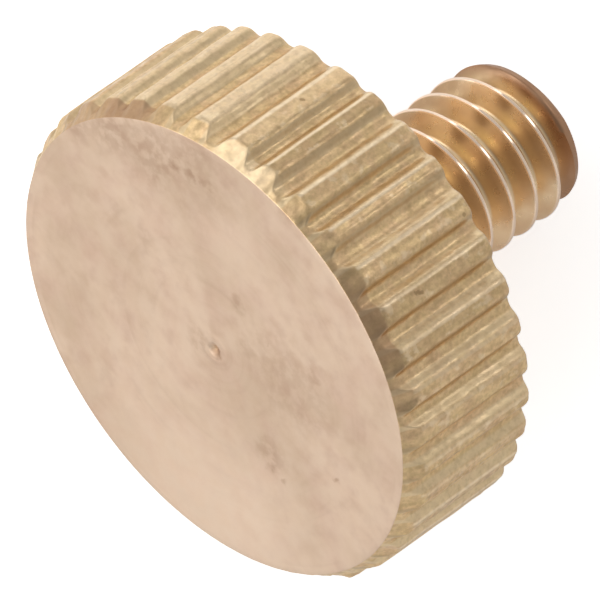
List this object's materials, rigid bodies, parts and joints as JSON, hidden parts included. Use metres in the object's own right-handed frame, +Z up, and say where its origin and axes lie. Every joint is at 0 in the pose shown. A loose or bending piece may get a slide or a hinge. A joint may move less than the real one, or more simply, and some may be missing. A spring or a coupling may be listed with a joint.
{
  "type": "thumb screw",
  "caption": "Brass thumb screw with a thick straight-knurled round head, a flat outer face and a short threaded shank, size 8-32, lying on its side.",
  "frame": {"origin": "on the flat surface that the screw lies on, at the middle of its outline from above", "axes": "+Z up from that surface; +X level, from the head towards the tip, with the screw's axis in the XZ plane; +Y level, across the head"},
  "size_m": [0.0136, 0.0134, 0.0129],
  "materials": {
    "brass": "bare turned brass, dull and slightly stained on the outer face, brighter on the ridge edges and the thread"
  },
  "bodies": {
    "root": {"thumb_screw": "brass"}
  },
  "joints": []
}
